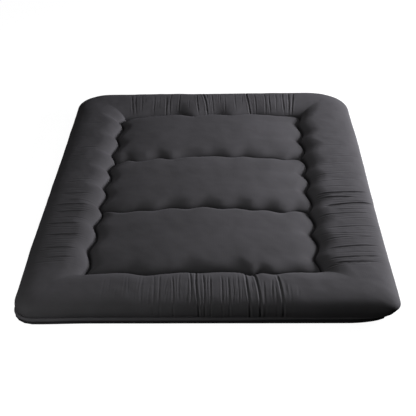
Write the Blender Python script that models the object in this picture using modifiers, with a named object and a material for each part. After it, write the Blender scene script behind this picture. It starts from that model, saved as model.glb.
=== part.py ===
"""Quilted floor futon mattress that folds in three.

Frame: metres, +Z up, origin on the floor under the middle of the mattress.
+X is across the bed, +Y runs from the foot end to the head end.

From the floor up the mattress is a base cloth, a foam core, fibre pads (three
quilted centre pads inside a raised bolster border) and a quilted cover, with a
piped welt round the bottom edge and quilting thread lying in the seams.
The layers are divided at the two cross seams, where the mattress folds.
"""

import math

import bmesh
import bpy

# ---------------------------------------------------------------- dimensions
WIDTH = 1.52            # 60 in across
LENGTH = 2.03           # 80 in long
CORNER_R = 0.17         # plan radius of the outer corners
CROWN_Z = 0.100         # top of the bolster border
PANEL_Z = 0.078         # top of the centre pads
VALLEY_Z = 0.046        # floor of the quilting seams
SEAM_X = 0.482          # half width of the quilted centre
SEAM_Y = 0.752          # half length of the quilted centre
FOLD_Y = 0.250          # cross seams, which are the fold lines

CLOTH_T = 0.0020        # base cloth with its backing
CLOTH_INSET = 0.0045    # base cloth's turned-up edge, in from the outline
CLOTH_EDGE = [0.0106, 0.0034]   # heights of that edge, then flat on the floor
CORE_Z0 = 0.0024        # underside of the foam core
CORE_Z1 = 0.0270        # top of the foam core
CORE_INSET = 0.020      # core edge in from the outline
FILL_Z0 = 0.0274        # underside of the fibre pads
COVER_T = 0.0015        # cover fabric
WELT_R = 0.0078         # piping radius
WELT_Z = 0.0205         # piping centre above the floor
THREAD_R = 0.0007       # quilting thread as laid in the seam
GAP = 0.0005            # half the clearance at a fold line

HALF_W, HALF_L = WIDTH / 2, LENGTH / 2

# Cross-section of the raised border, from the welt up over the crown and down
# to the seam: (share of the way in from the outline to the seam, height).
BORDER_PROFILE = [
    (0.030, 0.0295), (0.012, 0.0430), (0.018, 0.0600), (0.062, 0.0790),
    (0.165, 0.0940), (0.345, CROWN_Z), (0.550, 0.0985), (0.745, 0.0895),
    (0.895, 0.0725), (1.000, VALLEY_Z),
]
# The fibre roll inside it, under the crown part of that cross-section.
ROLL_PROFILE = [
    (0.048, 0.0540), (0.085, 0.0745), (0.175, 0.0890), (0.345, 0.0950),
    (0.545, 0.0935), (0.735, 0.0845), (0.880, 0.0675), (0.972, 0.0440),
]
# Rows of the centre pads, measured in from the seam round each.
SOFT_ROWS = (0.016, 0.050, 0.110)
# Where those rows come out on the outer corner's arc, in degrees.
CORNER_ROWS = (36.0, 20.0, 0.0)

SECTIONS = {
    "foot": (-HALF_L, -FOLD_Y - GAP),
    "middle": (-FOLD_Y + GAP, FOLD_Y - GAP),
    "head": (FOLD_Y + GAP, HALF_L),
}


# ------------------------------------------------------------------- helpers
def clear_scene():
    for obj in list(bpy.data.objects):
        bpy.data.objects.remove(obj, do_unlink=True)


def material(name, colour, roughness):
    mat = bpy.data.materials.new(name)
    mat.use_nodes = True
    bsdf = mat.node_tree.nodes["Principled BSDF"]
    bsdf.inputs["Base Color"].default_value = (*colour, 1.0)
    bsdf.inputs["Roughness"].default_value = roughness
    bsdf.inputs["Metallic"].default_value = 0.0
    return mat


def place(obj, mat, parent):
    obj.data.materials.clear()
    obj.data.materials.append(mat)
    if obj.name not in COLLECTION.objects:
        COLLECTION.objects.link(obj)
    obj.parent = parent
    obj.matrix_parent_inverse = parent.matrix_world.inverted()
    return obj


def round_corner(x, y, half_w, half_l, radius):
    """Pulls a point of the square plan onto the plan with rounded corners."""
    a, b = half_w - radius, half_l - radius
    p, q = (abs(x) - a) / radius, (abs(y) - b) / radius
    if p <= 0 or q <= 0:
        return x, y
    k = max(p, q) / math.hypot(p, q)
    return (
        math.copysign(a + p * k * radius, x),
        math.copysign(b + q * k * radius, y),
    )


def pillow(d, reach):
    """0 at a seam, rising steeply and levelling to 1 at `reach` from it."""
    t = min(max((d - GAP) / reach, 0.0), 1.0)
    return math.sqrt(1.0 - (1.0 - t) ** 2)


def panel_height(x, y):
    """Height of the centre pads: each swells between the seams round it."""
    dy = min(abs(y - e) for e in (-SEAM_Y, -FOLD_Y, FOLD_Y, SEAM_Y))
    dx = SEAM_X - abs(x)
    swell = pillow(dx, 0.12) * pillow(dy, 0.12)
    return VALLEY_Z + (PANEL_Z - VALLEY_Z) * swell


def grid_object(name, columns, rows, point):
    """An open sheet: a grid primitive whose vertices are set by point(i, j)."""
    mesh = bpy.data.meshes.new(name)
    bm = bmesh.new()
    bmesh.ops.create_grid(
        bm, x_segments=columns - 1, y_segments=rows - 1, size=0.5
    )
    for v in bm.verts:
        i = round((v.co.x + 0.5) * (columns - 1))
        j = round((v.co.y + 0.5) * (rows - 1))
        v.co = point(i, j)
    bmesh.ops.recalc_face_normals(bm, faces=bm.faces)
    up = sum(f.normal.z * f.calc_area() for f in bm.faces)
    if up < 0:
        bmesh.ops.reverse_faces(bm, faces=bm.faces)
    bm.to_mesh(mesh)
    bm.free()
    mesh.shade_smooth()
    return bpy.data.objects.new(name, mesh)


def close_down(obj, floor_z):
    """Turns an open top sheet into a solid with a flat underside."""
    bm = bmesh.new()
    bm.from_mesh(obj.data)
    top = list(bm.faces)
    made = bmesh.ops.extrude_face_region(bm, geom=top)
    for v in [g for g in made["geom"] if isinstance(g, bmesh.types.BMVert)]:
        v.co.z = floor_z
    bmesh.ops.recalc_face_normals(bm, faces=bm.faces)
    if bm.calc_volume(signed=True) < 0:
        bmesh.ops.reverse_faces(bm, faces=bm.faces)
    bm.to_mesh(obj.data)
    bm.free()
    obj.data.set_sharp_from_angle(angle=math.radians(40))
    return obj


# ------------------------------------------------- layout of the seams' rows
def row_lines(low, high, low_seam, high_seam):
    """Rows between two lines, gathered toward each end that is a seam."""
    near = [low + s for s in SOFT_ROWS] if low_seam else []
    far = [high - s for s in reversed(SOFT_ROWS)] if high_seam else []
    return [low] + near + far + [high]


def panel_rows(section):
    low, high = SECTIONS[section]
    return row_lines(max(low, -SEAM_Y), min(high, SEAM_Y), True, True)


def panel_columns():
    half = row_lines(-SEAM_X, SEAM_X, True, True)
    return half[:len(half) // 2] + [0.0] + half[len(half) // 2:]


def end_stations(section):
    """Pairs of points, on the outline and on the seam, round one end."""
    sign = -1.0 if section == "foot" else 1.0
    rows = [y for y in panel_rows(section)]
    rows.sort(key=lambda y: abs(y))
    straight = rows[:-1 - len(SOFT_ROWS)]
    left = [((-HALF_W, y), (-SEAM_X, y)) for y in straight]
    cx, cy = -(HALF_W - CORNER_R), sign * (HALF_L - CORNER_R)

    def on_arc(degrees):
        a = math.radians(degrees)
        return cx - CORNER_R * math.cos(a), cy + sign * CORNER_R * math.sin(a)

    for s, a in zip(reversed(SOFT_ROWS), reversed(CORNER_ROWS)):
        left.append((on_arc(a), (-SEAM_X, sign * (SEAM_Y - s))))
    left.append((on_arc(45.0), (-SEAM_X, sign * SEAM_Y)))
    for s, a in zip(SOFT_ROWS, CORNER_ROWS):
        left.append((on_arc(90.0 - a), (-SEAM_X + s, sign * SEAM_Y)))
    middle = [((0.0, sign * HALF_L), (0.0, sign * SEAM_Y))]
    right = [((-o[0], o[1]), (-i[0], i[1])) for o, i in reversed(left)]
    return left + middle + right


def side_stations(sign):
    return [((sign * HALF_W, y), (sign * SEAM_X, y))
            for y in panel_rows("middle")]


def strip(name, stations, profile):
    """The border's upper surface: one profile carried along the stations."""
    def point(i, j):
        (ox, oy), (ix, iy) = stations[j]
        t, z = profile[i]
        return ox + (ix - ox) * t, oy + (iy - oy) * t, z

    return grid_object(name, len(profile), len(stations), point)


def border_strips(name, section, profile):
    if section == "middle":
        return [strip(f"{name}_{word}", side_stations(sign), profile)
                for word, sign in (("left", -1.0), ("right", 1.0))]
    return [strip(name, end_stations(section), profile)]


def joined(name, pieces):
    """Several open sheets welded into one along their common edges."""
    bm = bmesh.new()
    for piece in pieces:
        bm.from_mesh(piece.data)
        bpy.data.objects.remove(piece, do_unlink=True)
    bmesh.ops.remove_doubles(bm, verts=bm.verts, dist=1e-5)
    bmesh.ops.recalc_face_normals(bm, faces=bm.faces)
    if sum(f.normal.z * f.calc_area() for f in bm.faces) < 0:
        bmesh.ops.reverse_faces(bm, faces=bm.faces)
    mesh = bpy.data.meshes.new(name)
    bm.to_mesh(mesh)
    bm.free()
    mesh.shade_smooth()
    return bpy.data.objects.new(name, mesh)


def cover_section(name, section):
    columns, rows = panel_columns(), panel_rows(section)

    def point(i, j):
        return columns[i], rows[j], panel_height(columns[i], rows[j])

    centre = grid_object(name + "_centre", len(columns), len(rows), point)
    borders = border_strips(name + "_border", section, BORDER_PROFILE)
    obj = joined(name, [centre] + borders)
    shell = obj.modifiers.new("cloth", "SOLIDIFY")
    shell.thickness = COVER_T
    shell.offset = -1.0
    shell.use_even_offset = False
    return obj


# --------------------------------------------------------------- fibre fills
def panel_fill(name, section):
    """A quilted centre pad between two cross seams."""
    clear = 0.009
    columns, rows = panel_columns(), panel_rows(section)
    columns[0] += clear
    columns[-1] -= clear
    rows[0] += clear
    rows[-1] -= clear

    def point(i, j):
        x, y = columns[i], rows[j]
        edge = i in (0, len(columns) - 1) or j in (0, len(rows) - 1)
        return x, y, panel_height(x, y) - (0.0085 if edge else 0.0062)

    return close_down(grid_object(name, len(columns), len(rows), point), FILL_Z0)


# ------------------------------------------------------- flat layers, threads
def layer_lines(low, high, half, radius, rim):
    """Lines across one layer: rim lines and corner lines at a mattress end."""
    corner = [radius * (1 - math.tan(math.radians(a))) for a in (30, 15, 0)]
    edge = [0.0] + rim + corner
    near = [-half + e for e in edge] if low <= -half else [low]
    far = [half - e for e in reversed(edge)] if high >= half else [high]
    return near + far


def layer(name, low, high, inset, top, rim_heights=()):
    """A flat sheet of one section, its outer edge turned up if it has a rim."""
    half_w, half_l, radius = HALF_W - inset, HALF_L - inset, CORNER_R - inset
    rim = [0.006, 0.014][:len(rim_heights)]
    xs = layer_lines(-half_w, half_w, half_w, radius, rim)
    ys = layer_lines(low, high, half_l, radius, rim)

    def rise(line, half):
        edge = half - abs(line)
        for start, height in zip([0.0] + rim, rim_heights):
            if abs(edge - start) < 1e-6:
                return height
        return top

    def point(i, j):
        x, y = round_corner(xs[i], ys[j], half_w, half_l, radius)
        return x, y, max(rise(xs[i], half_w), rise(ys[j], half_l))

    return grid_object(name, len(xs), len(ys), point)


def base_cloth(name, low, high):
    obj = layer(name, low, high, CLOTH_INSET, 0.0, CLOTH_EDGE)
    cloth = obj.modifiers.new("cloth", "SOLIDIFY")
    cloth.thickness = CLOTH_T
    cloth.offset = 1.0
    cloth.use_even_offset = False
    return obj


def foam_core(name, low, high):
    return close_down(layer(name, low, high, CORE_INSET, CORE_Z1), CORE_Z0)


def outline_path(section, inset, side=None):
    """Points along the outline of one section, inset from the edge."""
    half_w, half_l, radius = HALF_W - inset, HALF_L - inset, CORNER_R - inset
    low, high = SECTIONS[section]
    if section == "middle":
        x = math.copysign(half_w, side)
        return [(x, low), (x, high)]
    sign = -1.0 if section == "foot" else 1.0
    start = high if section == "foot" else low
    cx, cy = half_w - radius, sign * (half_l - radius)
    steps = 8
    path = [(-half_w, start)]
    for k in range(steps + 1):
        a = math.radians(90 * k / steps)
        path.append((-cx - radius * math.cos(a), cy + sign * radius * math.sin(a)))
    for k in range(steps + 1):
        a = math.radians(90 - 90 * k / steps)
        path.append((cx + radius * math.cos(a), cy + sign * radius * math.sin(a)))
    path.append((half_w, start))
    return path


def cord_object(name, points, radius, resolution):
    curve = bpy.data.curves.new(name, "CURVE")
    curve.dimensions = "3D"
    curve.bevel_depth = radius
    curve.bevel_resolution = resolution
    curve.use_fill_caps = True
    spline = curve.splines.new("POLY")
    spline.points.add(len(points) - 1)
    for p, co in zip(spline.points, points):
        p.co = (*co, 1.0)
    return bpy.data.objects.new(name, curve)


# ---------------------------------------------------------------------- build
clear_scene()
COLLECTION = bpy.data.collections.new("futon_mattress")
bpy.context.scene.collection.children.link(COLLECTION)


def empty(name, location, parent=None):
    obj = bpy.data.objects.new(name, None)
    COLLECTION.objects.link(obj)
    obj.location = location
    obj.parent = parent
    bpy.context.view_layer.update()
    return obj


# The foot section lies on the floor. The middle folds over it about a line on
# top of the cover, and the head folds back over the middle about a line under
# the base cloth, so the three end up as an accordion stack.
FOOT = empty("foot_root", (0.0, 0.0, 0.0))
MIDDLE = empty("foot_seam_hinge", (0.0, -FOLD_Y, CROWN_Z + 0.001), FOOT)
HEAD = empty("head_seam_hinge", (0.0, 2 * FOLD_Y, -CROWN_Z - 0.002), MIDDLE)
PARENT = {"foot": FOOT, "middle": MIDDLE, "head": HEAD}

CHARCOAL = material("cover_cloth", (0.050, 0.050, 0.055), 0.85)
BACKING = material("base_cloth", (0.030, 0.030, 0.033), 0.90)
PIPING = material("welt_cloth", (0.036, 0.036, 0.040), 0.85)
FIBRE = material("fibre_fill", (0.86, 0.86, 0.84), 0.95)
FOAM = material("foam_core", (0.80, 0.78, 0.70), 0.90)
THREAD = material("thread", (0.035, 0.035, 0.038), 0.70)

for section, (low, high) in SECTIONS.items():
    parent = PARENT[section]
    place(base_cloth(f"{section}_base_cloth", low, high), BACKING, parent)
    place(foam_core(f"{section}_foam_core", low, high), FOAM, parent)
    place(cover_section(f"{section}_cover", section), CHARCOAL, parent)
    place(panel_fill(f"{section}_centre_pad", section), FIBRE, parent)
    for roll in border_strips(f"{section}_border_roll", section, ROLL_PROFILE):
        place(close_down(roll, FILL_Z0), FIBRE, parent)

for section in ("foot", "head"):
    path = [(x, y, WELT_Z) for x, y in outline_path(section, WELT_R)]
    place(cord_object(f"{section}_welt", path, WELT_R, 2), PIPING, PARENT[section])
    inner = {"foot": -1.0, "head": 1.0}[section]
    start = SECTIONS[section][1 if section == "foot" else 0]
    z = VALLEY_Z + THREAD_R + 0.0012
    seam = [(-SEAM_X, start, z), (-SEAM_X, inner * SEAM_Y, z),
            (SEAM_X, inner * SEAM_Y, z), (SEAM_X, start, z)]
    place(cord_object(f"{section}_border_stitching", seam, THREAD_R, 1),
          THREAD, PARENT[section])

for word, sign in (("left", -1.0), ("right", 1.0)):
    path = [(x, y, WELT_Z) for x, y in outline_path("middle", WELT_R, sign)]
    place(cord_object(f"middle_{word}_welt", path, WELT_R, 2), PIPING, MIDDLE)
    z = VALLEY_Z + THREAD_R + 0.0012
    low, high = SECTIONS["middle"]
    seam = [(sign * SEAM_X, low, z), (sign * SEAM_X, high, z)]
    place(cord_object(f"middle_{word}_border_stitching", seam, THREAD_R, 1),
          THREAD, MIDDLE)

for word, sign in (("foot", -1.0), ("head", 1.0)):
    y = sign * (FOLD_Y - GAP - THREAD_R - 0.0003)
    z = VALLEY_Z + THREAD_R + 0.0024
    reach = SEAM_X - 0.006
    seam = [(-reach, y, z), (reach, y, z)]
    place(cord_object(f"{word}_cross_stitching", seam, THREAD_R, 1),
          THREAD, MIDDLE)

bpy.context.view_layer.update()
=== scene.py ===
"""Looks of the quilted floor futon mattress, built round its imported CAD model."""

import math

import bpy
import numpy as np
from mathutils import Matrix, Vector, noise


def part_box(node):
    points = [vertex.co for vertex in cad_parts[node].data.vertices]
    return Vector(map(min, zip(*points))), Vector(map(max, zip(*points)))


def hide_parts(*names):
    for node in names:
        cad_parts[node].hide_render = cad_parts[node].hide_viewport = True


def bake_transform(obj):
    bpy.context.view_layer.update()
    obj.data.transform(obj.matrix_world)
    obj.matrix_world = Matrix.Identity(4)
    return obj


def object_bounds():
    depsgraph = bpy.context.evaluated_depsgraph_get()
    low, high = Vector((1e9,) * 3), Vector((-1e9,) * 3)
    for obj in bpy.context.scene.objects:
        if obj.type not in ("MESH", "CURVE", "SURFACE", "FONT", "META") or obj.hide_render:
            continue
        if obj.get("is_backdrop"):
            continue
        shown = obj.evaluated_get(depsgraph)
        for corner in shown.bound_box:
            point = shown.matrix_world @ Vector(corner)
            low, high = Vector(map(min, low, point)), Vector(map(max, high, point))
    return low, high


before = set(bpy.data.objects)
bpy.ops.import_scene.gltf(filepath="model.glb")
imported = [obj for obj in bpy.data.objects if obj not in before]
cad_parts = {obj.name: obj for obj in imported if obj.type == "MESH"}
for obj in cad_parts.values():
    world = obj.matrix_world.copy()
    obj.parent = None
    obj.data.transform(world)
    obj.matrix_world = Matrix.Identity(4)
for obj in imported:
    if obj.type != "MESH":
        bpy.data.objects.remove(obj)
cad_low, cad_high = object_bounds()

# ------------------------------------------------------------ sizes, from CAD
HALF_W, HALF_L = cad_high.x, cad_high.y
_stitch_low, _stitch_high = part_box("foot_border_stitching")
SEAM_X = (_stitch_high.x - _stitch_low.x) / 2 - 0.0007
SEAM_Y = -_stitch_low.y - 0.0007
VALLEY = _stitch_low.z - 0.0055
FOLD = -(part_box("foot_cover")[1].y) + 0.0005
CROWN = cad_high.z
WELT_LOW, WELT_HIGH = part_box("middle_left_welt")
WELT_R = (WELT_HIGH.z - WELT_LOW.z) / 2
WELT_Z = (WELT_HIGH.z + WELT_LOW.z) / 2
RNG = np.random.default_rng(20)
SEAM_TUCK = 0.014


# ------------------------------------------------------------- small helpers
def smooth(t):
    t = np.clip(t, 0.0, 1.0)
    return t * t * (3 - 2 * t)


def bump(x, width):
    return np.exp(-np.square(x / width))


def pillow(d, reach, power=2.0):
    """0 at a seam, rising steeply and levelling to 1 at `reach` from it."""
    t = np.clip(d / reach, 0.0, 1.0)
    return np.power(1.0 - np.power(1.0 - t, power), 1.0 / power)


def crevice(d):
    """The narrow tuck where two rolls of cloth meet over their seam."""
    return -SEAM_TUCK * np.exp(-np.maximum(d, 0.0) / 0.0046)


def through(points):
    """A smooth curve through (position, value) pairs, by monotone steps."""
    points = sorted(points)
    xs = np.array([p[0] for p in points])
    ys = np.array([p[1] for p in points])
    slope = np.gradient(ys, xs)

    def at(x):
        x = np.asarray(x, float)
        i = np.clip(np.searchsorted(xs, x) - 1, 0, len(xs) - 2)
        h = xs[i + 1] - xs[i]
        t = np.clip((x - xs[i]) / h, 0.0, 1.0)
        a, b, m, n = ys[i], ys[i + 1], slope[i] * h, slope[i + 1] * h
        return (
            (2 * t**3 - 3 * t**2 + 1) * a + (t**3 - 2 * t**2 + t) * m
            + (-2 * t**3 + 3 * t**2) * b + (t**3 - t**2) * n
        )

    return at


def field(points, scale, seed, octaves=2):
    """Soft noise from -1 to 1 at rows of points, the same on every run."""
    shift = Vector((seed * 17.3, seed * 5.1, seed * 9.7))
    out = np.empty(len(points))
    for k, p in enumerate(points):
        v = Vector(p) * scale + shift
        out[k] = noise.noise(v) + (0.5 * noise.noise(v * 2.1) if octaves > 1 else 0)
    return out


# ------------------------------------------------------------ quilting seams
# Quilting draws the seams into waves. Each list holds where a seam swings one
# way and the other: where the centre pads' cloth puffs over it, and where the
# border's does.
RIGHT_OUT = [0.745, 0.525, 0.347, 0.168, 0.009, -0.192, -0.379, -0.550, -0.742]
RIGHT_IN = [0.636, 0.440, 0.258, 0.078, -0.084, -0.275, -0.458, -0.646]
LEFT_IN = [0.731, 0.624, 0.423, 0.234, 0.058, -0.118, -0.297, -0.477, -0.687]
LEFT_OUT = [0.681, 0.500, 0.307, 0.138, -0.049, -0.229, -0.394, -0.583, -0.762]


def wave(high, low, middle, swing, sharp):
    """A line that swings up at `high` places and down at `low` ones."""
    marks = sorted([(p, 0.0) for p in high] + [(p, math.pi) for p in low])
    xs = np.array([m[0] for m in marks])
    phase, turn = [], 0.0
    for k, (_, kind) in enumerate(marks):
        if k:
            turn += math.pi if kind != marks[k - 1][1] else 2 * math.pi
        phase.append(turn + marks[0][1])
    phase = np.array(phase)

    def at(x):
        p = np.interp(x, xs, phase)
        return middle + swing * (2 * np.abs(np.cos(p / 2)) ** sharp - 1)

    return at


seam_right = wave(RIGHT_OUT, RIGHT_IN, 0.4715, 0.0115, 1.45)
seam_left = wave(LEFT_IN, LEFT_OUT, -0.4895, 0.0110, 1.45)
seam_front = through([
    (-0.489, -0.760), (-0.43, -0.757), (-0.312, -0.752), (-0.222, -0.769),
    (-0.140, -0.758), (-0.079, -0.749), (-0.003, -0.753), (0.098, -0.748),
    (0.150, -0.754), (0.198, -0.771), (0.229, -0.756), (0.285, -0.765),
    (0.330, -0.756), (0.373, -0.751), (0.430, -0.753), (0.474, -0.748)])
seam_back = through([
    (-0.482, 0.739), (-0.43, 0.743), (-0.336, 0.753), (-0.26, 0.760),
    (-0.198, 0.763), (-0.100, 0.740), (-0.04, 0.752), (0.013, 0.759),
    (0.110, 0.747), (0.17, 0.757), (0.224, 0.763), (0.29, 0.757),
    (0.352, 0.751), (0.42, 0.751), (0.480, 0.744)])
seam_head = through([
    (-0.490, 0.236), (-0.454, 0.236), (-0.410, 0.245), (-0.372, 0.230),
    (-0.315, 0.237), (-0.255, 0.253), (-0.193, 0.241), (-0.133, 0.256),
    (-0.079, 0.262), (0.023, 0.267), (0.112, 0.255), (0.186, 0.262),
    (0.230, 0.252), (0.319, 0.251), (0.399, 0.240), (0.437, 0.253),
    (0.480, 0.250)])
seam_foot = through([
    (-0.490, -0.243), (-0.448, -0.245), (-0.397, -0.263), (-0.313, -0.254),
    (-0.242, -0.257), (-0.173, -0.239), (-0.088, -0.246), (-0.005, -0.231),
    (0.080, -0.247), (0.150, -0.244), (0.220, -0.258), (0.289, -0.255),
    (0.365, -0.272), (0.422, -0.252), (0.470, -0.256)])
SEAMS_Y = [(-SEAM_Y, seam_front), (-FOLD, seam_foot), (FOLD, seam_head),
           (SEAM_Y, seam_back)]

# Soft dimples where a seam holds the pads' cloth down: (place, strength).
DIMPLES = {
    "front": [(-0.445, 0.45), (-0.299, 0.75), (-0.175, 0.25), (-0.054, 1.10),
              (0.142, 1.35), (0.353, 1.00), (0.455, 0.35)],
    "foot+": [(-0.400, 0.75), (-0.275, 0.45), (-0.141, 1.05), (0.003, 0.55),
              (0.150, 1.00), (0.268, 1.05), (0.398, 1.15)],
    "foot-": [(-0.455, 0.5), (-0.335, 0.6), (-0.205, 0.8), (-0.070, 0.7),
              (0.080, 0.8), (0.212, 0.7), (0.335, 0.8), (0.440, 0.5)],
    "head+": [(-0.382, 0.95), (-0.250, 0.80), (-0.102, 1.00), (0.040, 0.65),
              (0.208, 0.90), (0.362, 1.05)],
    "head-": [(-0.440, 0.5), (-0.315, 0.7), (-0.175, 0.8), (-0.030, 0.7),
              (0.125, 0.8), (0.290, 0.7), (0.430, 0.5)],
    "back": [(-0.390, 0.7), (-0.265, 0.5), (-0.100, 0.9), (0.040, 0.5),
             (0.115, 0.8), (0.255, 0.5), (0.380, 0.7)],
    "right": [(y, 0.9) for y in RIGHT_IN],
    "left": [(y, 0.9) for y in LEFT_IN],
    # the same on the border's side of each seam
    "border_right": [(y, 0.9) for y in RIGHT_OUT],
    "border_left": [(y, 0.9) for y in LEFT_OUT],
    "border_front": [(-0.222, 0.9), (-0.02, 0.3), (0.205, 1.0), (0.285, 0.6),
                     (-0.40, 0.4), (0.44, 0.3)],
    "border_back": [(-0.336, 0.7), (-0.198, 1.0), (-0.07, 0.4), (0.045, 0.8),
                    (0.224, 0.9), (0.352, 0.5)],
}


def dimple(name, place, width=0.040):
    out = np.zeros_like(np.asarray(place, float))
    for where, strength in DIMPLES[name]:
        out = np.maximum(out, strength * bump(place - where, width))
    return out


# -------------------------------------------------- the centre pads' surface
def plan(nx, ny):
    """Nominal place on the straight-seamed plan to its place on the real one."""
    x = seam_left(ny) + (seam_right(ny) - seam_left(ny)) * (nx + SEAM_X) / (2 * SEAM_X)
    y = np.array(ny, float)
    for (a, low), (b, high) in zip(SEAMS_Y, SEAMS_Y[1:]):
        inside = (ny >= a - 1e-6) & (ny <= b + 1e-6)
        v = (ny - a) / (b - a)
        y = np.where(inside, low(nx) + (high(nx) - low(nx)) * v, y)
    return x, y


PANEL_RISE = 0.0510


def dome(d, near, half, firm=0.30):
    """A firm roll beside the seam that goes on rising gently to the middle."""
    return firm * pillow(d, near, 2.0) + (1 - firm) * pillow(d, half, 2.0)


def panel_height(nx, ny):
    """Height of the cover over the centre pads, from nominal places."""
    x, y = plan(nx, ny)
    right, left = seam_right(ny) - x, x - seam_left(ny)
    sides = (
        dome(right, 0.050 + 0.012 * dimple("right", ny), 0.98 * SEAM_X, 0.24)
        * dome(left, 0.052 + 0.012 * dimple("left", ny), 0.96 * SEAM_X)
    )
    swell = np.zeros_like(nx)
    dip = np.zeros_like(nx)
    dents = np.zeros_like(nx)
    names = [("front", "foot-"), ("foot+", "head-"), ("head+", "back")]
    for ((a, low), (b, high)), (near, far) in zip(
        zip(SEAMS_Y, SEAMS_Y[1:]), names
    ):
        inside = (ny >= a - 1e-6) & (ny <= b + 1e-6)
        dn, df = y - low(nx), high(nx) - y
        at_near, at_far = dimple(near, nx, 0.056), dimple(far, nx, 0.040)
        s = (
            dome(dn, 0.056 + 0.026 * at_near, 0.80 * FOLD, 0.55)
            * dome(df, 0.048 + 0.014 * at_far, 0.80 * FOLD, 0.55)
        )
        depth = 0.0026 * at_near * bump(dn - 0.024, 0.046) * smooth(dn / 0.018)
        depth += 0.0016 * at_far * bump(df - 0.018, 0.022) * smooth(df / 0.016)
        tucked = crevice(dn) + crevice(df)
        dip = np.where(inside, -tucked, dip)
        swell = np.where(inside, s, swell)
        dents = np.where(inside, depth, dents)
    depth = 0.0024 * dimple("right", ny, 0.030) * bump(right - 0.016, 0.020)
    depth += 0.0024 * dimple("left", ny, 0.030) * bump(left - 0.016, 0.020)
    dents = dents + depth * smooth(np.minimum(left, right) / 0.014)
    dip = dip - crevice(left) - crevice(right)
    return VALLEY + PANEL_RISE * sides * swell - dents * np.sqrt(swell) - np.minimum(dip, SEAM_TUCK)


# ------------------------------------------------------- the border's layout
RADIUS = {"FL": 0.086, "FR": 0.060, "BL": 0.155, "BR": 0.205}
# The mattress lies a little out of true: how far each side stands in or out.
left_shift = through([(-1.0, 0.0145), (-0.85, 0.0135), (-0.6, 0.0085), (-0.3, 0.008),
                      (0.0, 0.007), (0.45, 0.0047), (0.7, 0.0027), (1.0, 0.0)])
right_shift = through([(-1.0, 0.012), (-0.85, 0.011), (-0.6, 0.007), (-0.3, 0.0035),
                       (0.0, 0.003), (0.45, 0.002), (0.7, -0.004), (1.0, -0.007)])


def outline_point(side, c):
    """The outline's place for a nominal place c along one side's seam."""
    half, seam, other, straight_from = (
        (HALF_L, SEAM_Y, HALF_W, 0.42) if side in "LR" else (HALF_W, SEAM_X, HALF_L, 0.16)
    )
    corner = {
        "L": ("FL", "BL"), "R": ("FR", "BR"), "F": ("FL", "FR"), "B": ("BL", "BR")
    }[side][0 if c < 0 else 1]
    r = RADIUS[corner]
    reach = half - r + r * math.pi / 4
    s = abs(c)
    if s > straight_from:
        t = (s - straight_from) / (seam - straight_from)
        s += (reach - seam) * t * t
    if s <= half - r:
        along, out, nal, nout = s, other, 0.0, 1.0
    else:
        a = (s - (half - r)) / r
        along, out = half - r + r * math.sin(a), other - r + r * math.cos(a)
        nal, nout = math.sin(a), math.cos(a)
    along, nal = math.copysign(along, c), math.copysign(nal, c)
    if side in "LR":
        k = -1.0 if side == "L" else 1.0
        x, y, n = k * out, along, (k * nout, nal)
    else:
        k = -1.0 if side == "F" else 1.0
        x, y, n = along, k * out, (nal, k * nout)
    right_share = float(smooth((x / HALF_W + 1) / 2))
    x += float(left_shift(y)) * (1 - right_share) + float(right_shift(y)) * right_share
    return (x, y), n


def tuck(side, c):
    """How far the underside is drawn in at one fuller corner, in metres."""
    t = np.zeros(len(c))
    front, right = side == "F", side == "R"
    t[front] = np.clip((c[front] - 0.400) / 0.082, 0, 1)
    t[right] = np.clip((-c[right] - 0.670) / 0.082, 0, 1)
    return 0.044 * t**2.3


def drawn(z):
    """The share of that tuck at a height: all at the floor, none half way up."""
    return np.clip((0.062 - np.asarray(z)) / 0.050, 0, 1) ** 3.0


def overhang(side, c):
    """Where the front's roll hangs over its welt, 0 to 1."""
    t = np.zeros(len(c))
    t[side == "F"] = smooth((c[side == "F"] - 0.10) / 0.22)
    t[side == "R"] = smooth((-c[side == "R"] - 0.60) / 0.12)
    return t


def spaced(a, b, step):
    return list(np.linspace(a, b, max(2, round(abs(b - a) / step) + 1)))


def make_stations(step, loose=None):
    """Round the border from the middle of the left side by way of the foot."""
    if loose:
        far = 0.36
        out = [("L", c) for c in spaced(0.0, -SEAM_Y, step)]
        out += [("F", c) for c in spaced(-SEAM_X, SEAM_X, step)[1:]]
        out += [("R", c) for c in spaced(-SEAM_Y, 0.0, step)[1:]]
        split = len(out) - 1
        out += [("R", c) for c in spaced(0.0, far, step)[1:]]
        out += [("R", c) for c in spaced(far, SEAM_Y, loose)[1:]]
        out += [("B", c) for c in spaced(SEAM_X, -SEAM_X, step)[1:]]
        out += [("L", c) for c in spaced(SEAM_Y, far, loose)[1:]]
        out += [("L", c) for c in spaced(far, 0.0, step)[1:]]
        return out, split
    out = [("L", c) for c in spaced(0.0, -SEAM_Y, step)]
    out += [("F", c) for c in spaced(-SEAM_X, SEAM_X, step)[1:]]
    out += [("R", c) for c in spaced(-SEAM_Y, 0.0, step)[1:]]
    split = len(out) - 1
    out += [("R", c) for c in spaced(0.0, SEAM_Y, step)[1:]]
    out += [("B", c) for c in spaced(SEAM_X, -SEAM_X, step)[1:]]
    out += [("L", c) for c in spaced(SEAM_Y, 0.0, step)[1:]]
    return out, split


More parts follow.
